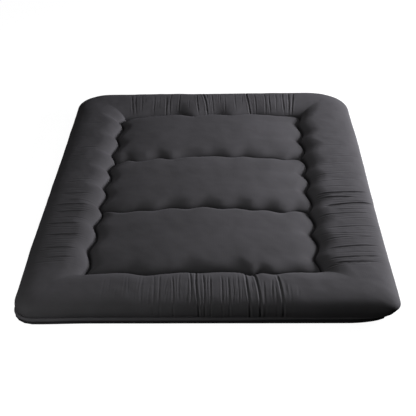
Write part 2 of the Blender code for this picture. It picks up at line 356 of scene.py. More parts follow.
class Stations:
    def __init__(self, step, loose=None):
        self.items, self.split = make_stations(step, loose)
        self.side = np.array([s for s, _ in self.items])
        self.c = np.array([c for _, c in self.items])
        nx = np.where(self.side == "L", -SEAM_X, np.where(self.side == "R", SEAM_X, self.c))
        ny = np.where(self.side == "F", -SEAM_Y, np.where(self.side == "B", SEAM_Y, self.c))
        px, py = plan(nx, ny)
        self.inner = np.stack([px, py], 1)
        pts = [outline_point(s, c) for s, c in self.items]
        self.outer = np.array([p for p, _ in pts])
        self.normal = np.array([n for _, n in pts])
        self.span = np.linalg.norm(self.inner - self.outer, axis=1)
        seam = np.where(np.isin(self.side, ["L", "R"]), SEAM_Y, SEAM_X)
        # 1 at an inner corner, fading out along both sides of it
        self.corner = smooth(1.0 - (seam - np.abs(self.c)) / 0.16)
        self.tuck = tuck(self.side, self.c)
        self.overhang = overhang(self.side, self.c)
        steps = np.linalg.norm(np.diff(self.outer, axis=0), axis=1)
        self.along = np.concatenate([[0], np.cumsum(steps)])


# The border's cross-section before the seam draws it down:
# (share of the way from the outline to the seam, height).
PROFILE = [
    (0.050, 0.0215), (0.034, 0.0292), (0.019, 0.0345), (0.0065, 0.0425), (0.0010, 0.0505),
    (0.0035, 0.0580), (0.0140, 0.0675), (0.0380, 0.0770), (0.0800, 0.0853),
    (0.1450, 0.0922), (0.2250, 0.0967), (0.3150, 0.0992), (0.4200, 0.1000),
    (0.5300, 0.0998), (0.6500, 0.0990), (0.8000, 0.0975), (1.0000, 0.0950),
]


# what the side rolls' own shapes add to those heights
LEAN_AT = (0.0, 0.035, 0.08, 0.145, 0.225, 0.315, 0.42, 0.53, 0.65, 0.80, 1.0)
LEAN_LEFT = (0.0, 0.0, -0.0050, -0.0058, -0.0052, -0.0042, -0.0024, -0.0006, 0.0008, 0.0018, 0.0025)
LEAN_RIGHT = (0.0, 0.0, -0.0020, -0.0038, -0.0052, -0.0060, -0.0065, -0.0068, -0.0074, -0.0084, -0.0095)


def profile_samples(count):
    pts = np.array(PROFILE)
    length = np.concatenate(
        [[0], np.cumsum(np.hypot(np.diff(pts[:, 0]) * 0.27, np.diff(pts[:, 1])))]
    )
    f_at = through(list(zip(length, pts[:, 0])))
    z_at = through(list(zip(length, pts[:, 1])))
    u = np.linspace(0, 1, count)
    # rows gather toward the seam, where the surface turns fastest
    s = length[-1] * (1 - (1 - u) ** 1.45)
    return f_at(s), z_at(s), s


# Gathers drawn across the border: side, place along it, share of the way
# across where it starts and stops, slant, depth and half width in mm.
GATHERS = [
    ("L", 0.310, 0.30, 0.72, 0.000, 1.0, 5.0), ("L", 0.180, 0.35, 0.70, 0.004, 0.6, 4.0),
    ("L", -0.020, 0.30, 0.80, -0.004, 0.7, 4.5), ("L", -0.152, 0.30, 0.76, 0.004, 2.0, 4.5),
    ("L", -0.215, 0.35, 0.92, 0.020, 1.1, 4.0), ("L", -0.262, 0.20, 0.84, 0.002, 3.4, 4.6),
    ("L", -0.300, 0.40, 0.90, 0.012, 0.9, 4.0), ("L", -0.326, 0.28, 0.80, 0.002, 2.9, 4.6),
    ("L", -0.372, 0.30, 0.75, 0.004, 0.9, 4.0), ("L", -0.418, 0.18, 0.76, 0.006, 2.5, 4.6),
    ("L", -0.460, 0.35, 0.80, 0.000, 0.9, 4.0), ("L", -0.508, 0.22, 0.80, 0.000, 3.0, 4.8),
    ("L", -0.552, 0.30, 0.75, -0.004, 1.0, 4.2), ("L", -0.585, 0.40, 0.80, 0.006, 0.9, 4.0),
    ("L", -0.618, 0.25, 0.78, -0.002, 3.2, 4.8), ("L", -0.652, 0.35, 0.72, -0.008, 1.2, 4.0),
    ("L", -0.690, 0.36, 0.80, -0.012, 2.8, 4.8), ("L", -0.722, 0.15, 0.70, -0.004, 1.1, 4.5),
    ("R", 0.330, 0.30, 0.75, 0.000, 0.7, 4.5), ("R", 0.205, 0.10, 0.55, 0.004, 0.9, 4.5),
    ("R", 0.120, 0.30, 0.80, 0.004, 0.7, 4.5), ("R", 0.020, 0.45, 0.88, 0.006, 1.0, 4.5),
    ("R", -0.045, 0.42, 0.88, 0.004, 1.3, 4.5), ("R", -0.095, 0.25, 0.80, 0.006, 1.0, 4.5),
    ("R", -0.150, 0.12, 0.88, 0.010, 3.2, 5.0), ("R", -0.198, 0.34, 0.84, -0.016, 2.8, 4.6),
    ("R", -0.230, 0.10, 0.55, 0.020, 1.3, 4.2), ("R", -0.262, 0.06, 0.80, 0.034, 3.8, 5.2),
    ("R", -0.300, 0.14, 0.70, 0.016, 1.5, 4.6), ("R", -0.342, 0.14, 0.92, 0.014, 1.9, 4.8),
    ("R", -0.390, 0.10, 0.60, 0.016, 1.1, 4.6), ("R", -0.455, 0.06, 0.85, 0.020, 1.4, 5.0),
    ("R", -0.500, 0.10, 0.70, 0.014, 0.9, 4.6), ("R", -0.540, 0.15, 0.88, 0.010, 1.5, 4.8),
    ("R", -0.612, 0.14, 0.84, 0.014, 2.0, 4.8), ("R", -0.655, 0.20, 0.80, 0.012, 0.9, 4.4),
    ("R", -0.690, 0.15, 0.85, 0.020, 2.0, 4.8), ("R", -0.712, 0.10, 0.60, 0.018, 1.8, 4.4),
    ("R", -0.729, 0.16, 0.80, 0.012, 3.2, 4.8), ("R", -0.744, 0.30, 0.88, 0.012, 2.0, 4.2),
    ("F", -0.390, 0.20, 0.62, 0.004, 0.4, 5.0), ("F", -0.330, 0.15, 0.55, 0.006, 0.4, 4.6),
    ("F", -0.268, 0.22, 0.70, 0.010, 0.7, 4.4), ("F", -0.226, 0.20, 0.62, 0.006, 0.6, 4.2),
    ("F", -0.193, 0.05, 0.66, 0.014, 1.1, 4.4), ("F", -0.165, 0.10, 0.74, 0.010, 1.5, 4.0),
    ("F", -0.143, 0.02, 0.50, 0.008, 0.9, 3.8), ("F", -0.118, 0.06, 0.78, 0.018, 1.5, 4.0),
    ("F", -0.084, 0.20, 0.68, 0.010, 0.8, 3.8), ("F", -0.044, 0.10, 0.90, 0.020, 1.9, 4.0),
    ("F", -0.026, 0.02, 0.52, 0.012, 1.2, 3.8), ("F", -0.005, 0.05, 0.92, 0.026, 2.6, 4.2),
    ("F", 0.019, 0.02, 0.80, 0.018, 2.0, 3.8), ("F", 0.040, 0.04, 0.46, 0.008, 0.9, 3.6),
    ("F", 0.068, 0.08, 0.66, 0.010, 0.7, 4.0), ("F", 0.093, 0.04, 0.78, 0.014, 1.5, 4.0),
    ("F", 0.124, 0.02, 0.55, 0.010, 0.8, 3.8), ("F", 0.155, 0.10, 0.64, 0.012, 0.7, 3.8),
    ("F", 0.186, 0.04, 0.97, 0.034, 3.0, 4.4), ("F", 0.205, 0.02, 0.44, 0.016, 1.0, 3.6),
    ("F", 0.221, 0.03, 1.00, 0.044, 3.4, 4.6), ("F", 0.252, 0.02, 0.58, 0.014, 1.0, 3.8),
    ("F", 0.281, 0.06, 0.48, 0.010, 0.9, 3.8), ("F", 0.326, 0.03, 0.88, 0.036, 3.0, 4.2),
    ("F", 0.352, 0.02, 0.48, 0.014, 0.8, 3.8), ("L", 0.718, 0.10, 0.98, 0.103, 2.2, 7.5),
    ("L", 0.690, 0.20, 0.80, 0.080, 0.9, 6.5), ("L", 0.745, 0.25, 0.85, 0.090, 1.0, 6.5),
    ("B", -0.462, 0.20, 0.96, -0.050, 1.3, 4.6), ("B", -0.432, 0.25, 0.97, -0.040, 0.9, 4.4),
    ("B", -0.400, 0.30, 0.92, -0.024, 0.7, 4.4), ("B", -0.330, 0.30, 0.85, -0.006, 0.5, 4.4),
    ("B", -0.250, 0.35, 0.97, -0.012, 1.5, 4.4), ("B", -0.222, 0.20, 0.80, 0.000, 0.6, 4.4),
    ("B", -0.080, 0.45, 0.96, -0.024, 1.0, 4.6), ("B", -0.042, 0.10, 0.97, -0.060, 2.6, 5.0),
    ("B", 0.010, 0.20, 0.75, -0.020, 0.6, 4.4), ("B", 0.130, 0.20, 0.80, -0.012, 0.5, 4.4),
    ("B", 0.203, 0.08, 0.97, -0.034, 2.4, 4.8), ("B", 0.240, 0.20, 0.80, -0.010, 0.6, 4.4),
    ("B", 0.292, 0.25, 0.95, -0.010, 1.2, 4.6), ("B", 0.352, 0.20, 0.90, -0.002, 0.6, 4.4),
    ("B", 0.412, 0.15, 0.95, 0.008, 1.3, 4.6), ("B", 0.442, 0.15, 0.96, 0.030, 1.4, 4.6),
    ("B", 0.468, 0.15, 0.97, 0.056, 1.8, 4.8),
]


# what the side rolls' own shapes add to those heights
LEAN_AT = (0.0, 0.035, 0.08, 0.145, 0.225, 0.315, 0.42, 0.53, 0.65, 0.80, 1.0)
LEAN_LEFT = (0.0, 0.0, -0.0050, -0.0058, -0.0052, -0.0042, -0.0024, -0.0006, 0.0008, 0.0018, 0.0025)
LEAN_RIGHT = (0.0, 0.0, -0.0020, -0.0038, -0.0052, -0.0060, -0.0065, -0.0068, -0.0074, -0.0084, -0.0095)


def profile_samples(count):
    pts = np.array(PROFILE)
    length = np.concatenate(
        [[0], np.cumsum(np.hypot(np.diff(pts[:, 0]) * 0.27, np.diff(pts[:, 1])))]
    )
    f_at = through(list(zip(length, pts[:, 0])))
    z_at = through(list(zip(length, pts[:, 1])))
    u = np.linspace(0, 1, count)
    # rows gather toward the seam, where the surface turns fastest
    s = length[-1] * (1 - (1 - u) ** 1.45)
    return f_at(s), z_at(s), s


# Gathers drawn across the border: side, place along it, share of the way
# across where it starts and stops, slant, depth and half width in mm.
GATHERS = [
    ("L", 0.310, 0.30, 0.72, 0.000, 1.0, 5.0), ("L", 0.180, 0.35, 0.70, 0.004, 0.6, 4.0),
    ("L", -0.020, 0.30, 0.80, -0.004, 0.7, 4.5), ("L", -0.152, 0.30, 0.76, 0.004, 2.0, 4.5),
    ("L", -0.215, 0.35, 0.92, 0.020, 1.1, 4.0), ("L", -0.262, 0.20, 0.84, 0.002, 3.4, 4.6),
    ("L", -0.300, 0.40, 0.90, 0.012, 0.9, 4.0), ("L", -0.326, 0.28, 0.80, 0.002, 2.9, 4.6),
    ("L", -0.372, 0.30, 0.75, 0.004, 0.9, 4.0), ("L", -0.418, 0.18, 0.76, 0.006, 2.5, 4.6),
    ("L", -0.460, 0.35, 0.80, 0.000, 0.9, 4.0), ("L", -0.508, 0.22, 0.80, 0.000, 3.0, 4.8),
    ("L", -0.552, 0.30, 0.75, -0.004, 1.0, 4.2), ("L", -0.585, 0.40, 0.80, 0.006, 0.9, 4.0),
    ("L", -0.618, 0.25, 0.78, -0.002, 3.2, 4.8), ("L", -0.652, 0.35, 0.72, -0.008, 1.2, 4.0),
    ("L", -0.690, 0.36, 0.80, -0.012, 2.8, 4.8), ("L", -0.722, 0.15, 0.70, -0.004, 1.1, 4.5),
    ("R", 0.330, 0.30, 0.75, 0.000, 0.7, 4.5), ("R", 0.205, 0.10, 0.55, 0.004, 0.9, 4.5),
    ("R", 0.120, 0.30, 0.80, 0.004, 0.7, 4.5), ("R", 0.020, 0.45, 0.88, 0.006, 1.0, 4.5),
    ("R", -0.045, 0.42, 0.88, 0.004, 1.3, 4.5), ("R", -0.095, 0.25, 0.80, 0.006, 1.0, 4.5),
    ("R", -0.150, 0.12, 0.88, 0.010, 3.2, 5.0), ("R", -0.198, 0.34, 0.84, -0.016, 2.8, 4.6),
    ("R", -0.230, 0.10, 0.55, 0.020, 1.3, 4.2), ("R", -0.262, 0.06, 0.80, 0.034, 3.8, 5.2),
    ("R", -0.300, 0.14, 0.70, 0.016, 1.5, 4.6), ("R", -0.342, 0.14, 0.92, 0.014, 1.9, 4.8),
    ("R", -0.390, 0.10, 0.60, 0.016, 1.1, 4.6), ("R", -0.455, 0.06, 0.85, 0.020, 1.4, 5.0),
    ("R", -0.500, 0.10, 0.70, 0.014, 0.9, 4.6), ("R", -0.540, 0.15, 0.88, 0.010, 1.5, 4.8),
    ("R", -0.612, 0.14, 0.84, 0.014, 2.0, 4.8), ("R", -0.655, 0.20, 0.80, 0.012, 0.9, 4.4),
    ("R", -0.690, 0.15, 0.85, 0.020, 2.0, 4.8), ("R", -0.712, 0.10, 0.60, 0.018, 1.8, 4.4),
    ("R", -0.729, 0.16, 0.80, 0.012, 3.2, 4.8), ("R", -0.744, 0.30, 0.88, 0.012, 2.0, 4.2),
    ("F", -0.400, 0.30, 0.80, 0.000, 0.5, 5.0), ("F", -0.310, 0.30, 0.90, 0.004, 0.6, 5.0),
    ("F", -0.240, 0.20, 0.92, 0.006, 0.8, 4.6), ("F", -0.196, 0.08, 0.92, 0.012, 1.3, 4.6),
    ("F", -0.168, 0.06, 0.90, 0.014, 1.6, 4.4), ("F", -0.120, 0.06, 0.85, 0.016, 1.5, 4.4),
    ("F", -0.090, 0.30, 0.95, 0.010, 0.8, 4.0), ("F", -0.052, 0.20, 0.96, 0.018, 1.9, 4.2),
    ("F", -0.020, 0.08, 0.97, 0.022, 3.0, 4.6), ("F", 0.005, 0.04, 0.92, 0.016, 2.0, 4.0),
    ("F", 0.030, 0.06, 0.80, 0.010, 1.2, 4.0), ("F", 0.075, 0.10, 0.85, 0.010, 1.2, 4.2),
    ("F", 0.105, 0.08, 0.80, 0.010, 1.3, 4.2), ("F", 0.140, 0.20, 0.90, 0.010, 0.9, 4.0),
    ("F", 0.178, 0.06, 0.96, 0.022, 3.0, 4.8), ("F", 0.214, 0.05, 0.99, 0.028, 3.6, 5.0),
    ("F", 0.245, 0.06, 0.70, 0.010, 1.1, 4.0), ("F", 0.285, 0.08, 0.60, 0.010, 1.3, 4.0),
    ("F", 0.306, 0.06, 0.90, 0.024, 3.4, 4.6), ("F", 0.345, 0.10, 0.60, 0.010, 0.7, 4.0),
    ("B", -0.452, 0.20, 0.96, -0.030, 1.7, 4.6), ("B", -0.425, 0.25, 0.97, -0.024, 1.4, 4.4),
    ("B", -0.400, 0.30, 0.92, -0.016, 1.0, 4.4), ("B", -0.330, 0.30, 0.95, -0.006, 1.0, 4.4),
    ("B", -0.262, 0.35, 0.97, -0.008, 2.2, 4.6), ("B", -0.232, 0.20, 0.97, 0.000, 1.3, 4.4),
    ("B", -0.190, 0.20, 0.90, 0.000, 0.9, 4.4), ("B", -0.080, 0.25, 0.96, -0.024, 2.0, 4.6),
    ("B", -0.045, 0.10, 0.97, -0.040, 3.2, 5.2), ("B", 0.000, 0.20, 0.95, -0.020, 1.1, 4.4),
    ("B", 0.070, 0.30, 0.95, -0.010, 0.8, 4.4), ("B", 0.130, 0.20, 0.90, -0.012, 0.8, 4.4),
    ("B", 0.200, 0.08, 0.97, -0.026, 3.2, 5.0), ("B", 0.238, 0.20, 0.95, -0.010, 1.2, 4.4),
    ("B", 0.290, 0.20, 0.95, -0.006, 1.5, 4.6), ("B", 0.322, 0.20, 0.95, -0.004, 1.3, 4.4),
    ("B", 0.352, 0.20, 0.90, -0.002, 1.2, 4.4), ("B", 0.398, 0.15, 0.95, -0.004, 1.8, 4.6),
    ("B", 0.422, 0.15, 0.96, 0.006, 1.9, 4.6), ("B", 0.448, 0.15, 0.97, 0.024, 2.4, 4.8),
]


def faint_gathers():
    """Many slight ones between them, more where the strong ones crowd."""
    out = []
    for side, half, count in (("L", SEAM_Y, 100), ("R", SEAM_Y, 120),
                              ("F", SEAM_X, 56), ("B", SEAM_X, 60)):
        strong = [(g[1], g[5]) for g in GATHERS if g[0] == side]
        while count:
            c = RNG.uniform(-half, half)
            near = sum(d * math.exp(-(((c - p) / 0.05) ** 2)) for p, d in strong)
            if RNG.uniform(0, 3.0) > near + 0.25:
                continue
            a = RNG.uniform(0.08, 0.5)
            out.append((side, c, a, a + RNG.uniform(0.2, 0.5), RNG.uniform(-0.016, 0.024),
                        RNG.uniform(0.25, 0.80), RNG.uniform(2.6, 4.2)))
            count -= 1
    return out


def gather_depth(p):
    """How far the border's cloth is drawn in at each of a grid of points."""
    x, y = p[..., 0].ravel(), p[..., 1].ravel()
    depth = np.zeros(x.shape)
    # along the side, and the share of the way in from the outline
    frames = {
        "L": (y, (x + HALF_W - 0.006) / 0.262), "R": (y, (HALF_W + 0.006 - x) / 0.290),
        "F": (x, (y + HALF_L) / 0.262), "B": (x, (HALF_L - y) / 0.262),
    }
    for side, place, start, stop, slant, mm, half in GATHERS + faint_gathers():
        c, share = frames[side]
        if side == "F":  # the front's run on down over its face
            start, stop = start - 0.17, stop - (0.0 if stop > 0.95 else 0.12)
            mm *= 0.55 + 0.45 * float(smooth((place + 0.20) / 0.16))
        if side in "LR" and mm > 1.9:  # the deepest ones are pinched tight
            mm *= 1.45 if side == "R" else 1.15
        rows = np.where((np.abs(c - place) < 0.10) & (share > start - 0.07) & (share < stop + 0.07))[0]
        if not len(rows):
            continue
        mid, w = (start + stop) / 2, 0.66 * half / 1000
        t = share[rows] - mid
        bend = 0.006 * math.sin(place * 91.0) * (1 - 4 * t * t)
        d = c[rows] - (place - slant * t + bend)
        window = smooth((t + mid - start + 0.06) / 0.20) * smooth((stop + 0.06 - t - mid) / 0.20)
        shape = bump(d, w) - 0.40 * bump(np.abs(d) - 2.3 * w, 1.3 * w) + 0.22 * bump(d, 4.0 * w)
        depth[rows] += 1.15 * mm / 1000 * window * shape
    return depth.reshape(p.shape[:2])


def flare(st):
    """How far the welt and the base stand out beyond the roll at the full corner."""
    t = np.zeros(len(st.c))
    left, front = st.side == "L", st.side == "F"
    t[left] = smooth((-st.c[left] - 0.45) / 0.24)
    t[front] = smooth((-st.c[front] - 0.36) / 0.10)
    return 0.0058 * t


def lift(st):
    """The fuller corner's underside stands a little off the floor."""
    return 0.006 * (st.tuck / 0.044)


def border_surface(st, count):
    """The border's skin as station by row arrays of points."""
    f, z0, length = profile_samples(count)
    name = {"L": "border_left", "R": "border_right", "F": "border_front", "B": "border_back"}
    dim = np.zeros(len(st.c))
    for side in "LRFB":
        rows = st.side == side
        dim[rows] = dimple(name[side], st.c[rows], 0.034)
    dim *= 1 - 0.5 * st.corner
    # the left roll's outer side climbs further before it levels; the right
    # roll is a little flatter
    z0 = np.broadcast_to(z0[None, :], (len(st.c), len(f))).copy()
    for side, lean in (("L", LEAN_LEFT), ("R", LEAN_RIGHT)):
        share = np.where(st.side == side, 1 - st.corner, 0.0)
        z0 += share[:, None] * np.interp(f, LEAN_AT, lean)[None, :]
    inset = (1 - f)[None, :] * st.span[:, None]
    width = np.select([st.side == "L", st.side == "R"], [0.086, 0.088], 0.112)
    width = width + (0.128 - width) * st.corner
    reach = (width + 0.012 * dim) * (1 + 0.25 * st.corner)
    draw = pillow(inset, reach[:, None], 2.0)
    z = VALLEY + (z0 - VALLEY) * np.where(z0 > VALLEY, draw, 1.0)
    outer_rows = f < 0.30
    z[:, outer_rows] = z0[:, outer_rows]
    z -= 0.0015 * dim[:, None] * bump(inset - 0.016, 0.014) * smooth(inset / 0.014)
    z += crevice(inset)
    share = np.broadcast_to(f[None, :], z.shape).copy()
    under = drawn(z) * (np.arange(len(f)) < 0.25 * len(f))[None, :]
    share += ((st.tuck + 0.012 * st.overhang) / st.span)[:, None] * under
    share -= (0.9 * flare(st) / st.span)[:, None] * smooth((0.056 - z) / 0.026) * (
        np.arange(len(f)) < 0.25 * len(f))[None, :]
    z = z - 0.013 * st.overhang[:, None] * smooth((0.044 - z) / 0.016)
    z = z + lift(st)[:, None] * smooth((0.085 - z) / 0.05)
    xy = st.outer[:, None, :] + (st.inner - st.outer)[:, None, :] * share[:, :, None]
    return np.concatenate([xy, z[:, :, None]], 2), f, length


def grid_normals(p):
    a = np.gradient(p, axis=0)
    b = np.gradient(p, axis=1)
    n = np.cross(a, b)
    n /= np.maximum(np.linalg.norm(n, axis=2, keepdims=True), 1e-12)
    return n


def push(p, amount):
    """Moves a grid of points out along its own normals."""
    n = grid_normals(p)
    if n[..., 2].mean() < 0:
        n = -n
    return p + n * amount[..., None]


def shaped(flat_points, scale, seed):
    return field(flat_points.reshape(-1, 3), scale, seed).reshape(flat_points.shape[:2])


# ---------------------------------------------------------- grids to objects
def quads(rows, columns, offset, flip=False):
    i = np.arange(rows - 1)[:, None] * columns + np.arange(columns - 1)[None, :]
    q = np.stack([i, i + 1, i + 1 + columns, i + columns], -1).reshape(-1, 4) + offset
    return q[:, ::-1] if flip else q


def to_object(name, grids, mat, up=True):
    """One mesh from several grids: (points, uv, normals) each rows x columns."""
    verts, faces, uvs, norms, base = [], [], [], [], 0
    for p, uv, n in grids:
        rows, columns = p.shape[:2]
        verts.append(p.reshape(-1, 3))
        uvs.append(uv.reshape(-1, 2))
        norms.append(n.reshape(-1, 3))
        q = quads(rows, columns, base)
        a, b, c = (p.reshape(-1, 3)[q[:, k] - base] for k in range(3))
        facing = np.einsum("ij,ij->", np.cross(b - a, c - b), n.reshape(-1, 3)[q[:, 1] - base])
        faces.append(q if facing > 0 else q[:, ::-1])
        base += rows * columns
    verts, faces = np.concatenate(verts), np.concatenate(faces)
    uvs, norms = np.concatenate(uvs), np.concatenate(norms)
    mesh = bpy.data.meshes.new(name)
    mesh.vertices.add(len(verts))
    mesh.vertices.foreach_set("co", verts.astype(np.float32).ravel())
    mesh.loops.add(len(faces) * 4)
    mesh.loops.foreach_set("vertex_index", faces.astype(np.int32).ravel())
    mesh.polygons.add(len(faces))
    mesh.polygons.foreach_set("loop_start", (np.arange(len(faces)) * 4).astype(np.int32))
    mesh.polygons.foreach_set("loop_total", np.full(len(faces), 4, np.int32))
    mesh.update(calc_edges=True)
    layer = mesh.uv_layers.new(name="cloth")
    layer.data.foreach_set("uv", uvs[faces.ravel()].astype(np.float32).ravel())
    mesh.polygons.foreach_set("use_smooth", np.ones(len(faces), bool))
    mesh.normals_split_custom_set_from_vertices([tuple(v) for v in norms])
    mesh.validate()
    obj = bpy.data.objects.new(name, mesh)
    bpy.context.scene.collection.objects.link(obj)
    obj.data.materials.append(mat)
    return obj


# ---------------------------------------------------------------- materials
def nodes_of(name):
    mat = bpy.data.materials.new(name)
    mat.use_nodes = True
    tree = mat.node_tree
    return mat, tree, tree.nodes["Principled BSDF"]


def cloth_material(name, dark, light, weave=900.0, bump_strength=0.25, sheen=0.25,
                   roughness=0.82, tint=(0.94, 0.92, 1.0)):
    mat, tree, bsdf = nodes_of(name)
    new, link = tree.nodes.new, tree.links.new
    bsdf.inputs["Roughness"].default_value = roughness
    bsdf.inputs["Specular IOR Level"].default_value = 0.25
    bsdf.inputs["Sheen Weight"].default_value = sheen
    bsdf.inputs["Sheen Roughness"].default_value = 0.45
    bsdf.inputs["Sheen Tint"].default_value = (*tint, 1.0)

    where = new("ShaderNodeTexCoord")
    uv = new("ShaderNodeUVMap")
    uv.uv_map = "cloth"

    # cloudy shade changes of a brushed surface, at two sizes
    broad = new("ShaderNodeTexNoise")
    broad.inputs["Scale"].default_value = 5.5
    broad.inputs["Detail"].default_value = 4.0
    broad.inputs["Roughness"].default_value = 0.55
    link(where.outputs["Object"], broad.inputs["Vector"])
    fine = new("ShaderNodeTexNoise")
    fine.inputs["Scale"].default_value = 420.0
    fine.inputs["Detail"].default_value = 2.0
    link(where.outputs["Object"], fine.inputs["Vector"])
    mix = new("ShaderNodeMath")
    mix.operation = "MULTIPLY_ADD"
    mix.inputs[1].default_value = 0.35
    link(fine.outputs["Fac"], mix.inputs[0])
    link(broad.outputs["Fac"], mix.inputs[2])
    ramp = new("ShaderNodeValToRGB")
    ramp.color_ramp.elements[0].position = 0.42
    ramp.color_ramp.elements[0].color = (*dark, 1.0)
    ramp.color_ramp.elements[1].position = 0.92
    ramp.color_ramp.elements[1].color = (*light, 1.0)
    link(mix.outputs[0], ramp.inputs["Fac"])
    link(ramp.outputs["Color"], bsdf.inputs["Base Color"])

    # plain weave: two sets of fine ridges along the cloth's own directions
    def ridges(direction):
        wave_node = new("ShaderNodeTexWave")
        wave_node.wave_type = "BANDS"
        wave_node.bands_direction = direction
        wave_node.wave_profile = "SIN"
        wave_node.inputs["Scale"].default_value = weave / 20.0
        wave_node.inputs["Distortion"].default_value = 0.6
        wave_node.inputs["Detail"].default_value = 1.0
        link(uv.outputs["UV"], wave_node.inputs["Vector"])
        return wave_node

    warp, weft = ridges("X"), ridges("Y")
    woven = new("ShaderNodeMath")
    woven.operation = "MULTIPLY"
    link(warp.outputs["Fac"], woven.inputs[0])
    link(weft.outputs["Fac"], woven.inputs[1])
    nap = new("ShaderNodeTexNoise")
    nap.inputs["Scale"].default_value = 160.0
    nap.inputs["Detail"].default_value = 5.0
    link(where.outputs["Object"], nap.inputs["Vector"])
    rise = new("ShaderNodeMath")
    rise.operation = "MULTIPLY_ADD"
    rise.inputs[1].default_value = 0.6
    link(woven.outputs[0], rise.inputs[0])
    link(nap.outputs["Fac"], rise.inputs[2])
    relief = new("ShaderNodeBump")
    relief.inputs["Strength"].default_value = bump_strength
    relief.inputs["Distance"].default_value = 0.0006
    link(rise.outputs[0], relief.inputs["Height"])
    link(relief.outputs["Normal"], bsdf.inputs["Normal"])
    return mat


COVER = cloth_material("brushed_cover", (0.0560, 0.0550, 0.0572), (0.0740, 0.0725, 0.0765), sheen=0.035)
# The welt's cloth is made lighter than the cover's: a painted highlight for the lit strip along the piping.
WELT = cloth_material("welt", (0.072, 0.071, 0.075), (0.092, 0.090, 0.096), weave=900,
                      bump_strength=0.35, sheen=0.04)
BASE = cloth_material("base", (0.012, 0.012, 0.013), (0.018, 0.018, 0.020), weave=500,
                      bump_strength=0.5, sheen=0.02)
STITCH = cloth_material("thread", (0.020, 0.020, 0.022), (0.034, 0.034, 0.037), weave=2400,
                        bump_strength=0.4, sheen=0.05)

# -------------------------------------------------------------- the cover
stations = Stations(0.0024, 0.0048)
border, f_rows, row_length = border_surface(stations, 64)
border = push(border, -gather_depth(border))
lumps = (
    0.0016 * shaped(border, 7.0, 3) + 0.0008 * shaped(border, 19.0, 4)
) * smooth((1 - f_rows) / 0.12)[None, :] * smooth(f_rows / 0.03 + 0.3)[None, :]
border = push(border, lumps)
border_n = grid_normals(border)
if border_n[..., 2].mean() < 0:
    border_n = -border_n
border_uv = np.stack(np.broadcast_arrays(
    stations.along[:, None], row_length[None, :]), -1)


def tucked_under(p, uv, n, reach, drop):
    """Adds a seam allowance: one more row, in under the cloth beyond the seam."""
    inward = p[:, -1, :2] - p[:, -2, :2]
    inward /= np.maximum(np.linalg.norm(inward, axis=1, keepdims=True), 1e-9)
    last = p[:, -1].copy()
    last[:, :2] += inward * reach
    last[:, 2] += drop
    return (np.concatenate([p, last[:, None]], 1),
            np.concatenate([uv, uv[:, -1:] + np.array([0.0, reach])], 1),
            np.concatenate([n, n[:, -1:]], 1))


border, border_uv, border_n = tucked_under(border, border_uv, border_n, 0.005, -0.002)

EDGE = [0.0, 0.0010, 0.0023, 0.0040, 0.0062, 0.0090, 0.0125, 0.0168, 0.0220, 0.0278]


def gathered(a, b, step=0.0064):
    """Places from a to b, close together beside both ends."""
    inner = spaced(a + EDGE[-1] + step, b - EDGE[-1] - step, step)
    return [a + e for e in EDGE] + inner + [b - e for e in reversed(EDGE)]


xs = gathered(-SEAM_X, SEAM_X)


def panel_rows(a, b):
    rows = gathered(a, b)
    if a < 0 < b:  # a row on the line where the two halves of the cover meet
        k = int(np.argmin(np.abs(np.array(rows))))
        rows[k] = 0.0
    return np.array(rows)


def panel_grid(low, high):
    rows = panel_rows(low, high)
    # one pad at a time, so that the crease between two pads stays sharp
    nx, ny = np.meshgrid(np.array(xs), rows, indexing="ij")
    x, y = plan(nx, ny)
    return np.stack([x, y, panel_height(nx, ny)], -1)


pads = []
for (a, _), (b, _) in zip(SEAMS_Y, SEAMS_Y[1:]):
    p = panel_grid(a, b)
    rows = panel_rows(a, b)
    edge = np.minimum.reduce([
        p[..., 0] - seam_left(p[..., 1]), seam_right(p[..., 1]) - p[..., 0],
        np.broadcast_to((rows - a)[None, :], p.shape[:2]),
        np.broadcast_to((b - rows)[None, :], p.shape[:2])])
    lump = (0.0014 * shaped(p, 6.0, 5) + 0.0006 * shaped(p, 17.0, 6)) * smooth(edge / 0.05)
    p = push(p, lump)
    n = grid_normals(p)
    if n[..., 2].mean() < 0:
        n = -n
    pads.append((p, p[..., :2].copy(), n, a, b))

split = stations.split
foot_grids = [(border[:split + 1], border_uv[:split + 1], border_n[:split + 1])]
head_grids = [(border[split:], border_uv[split:], border_n[split:])]
for p, uv, n, a, b in pads:
    if b <= 0:
        foot_grids.append((p, uv, n))
    elif a >= 0:
        head_grids.append((p, uv, n))
    else:
        k = int(np.argmin(np.abs(panel_rows(a, b))))
        foot_grids.append((p[:, :k + 1], uv[:, :k + 1], n[:, :k + 1]))
        head_grids.append((p[:, k:], uv[:, k:], n[:, k:]))

cover_foot = to_object("cover_foot_half", foot_grids, COVER)
cover_head = to_object("cover_head_half", head_grids, COVER)


# ---------------------------------------------------------------- the welt
def tube(centre, side_dir, radius, count=18):
    """A tube grid round a path: centre points, outward directions, radii."""
    up = np.array([0.0, 0.0, 1.0])
    a = np.linspace(0, 2 * np.pi, count)
    ring = (
        np.cos(a)[None, :, None] * side_dir[:, None, :]
        + np.sin(a)[None, :, None] * up[None, None, :]
    )
    p = centre[:, None, :] + ring * radius[:, None, None]
    return p, ring


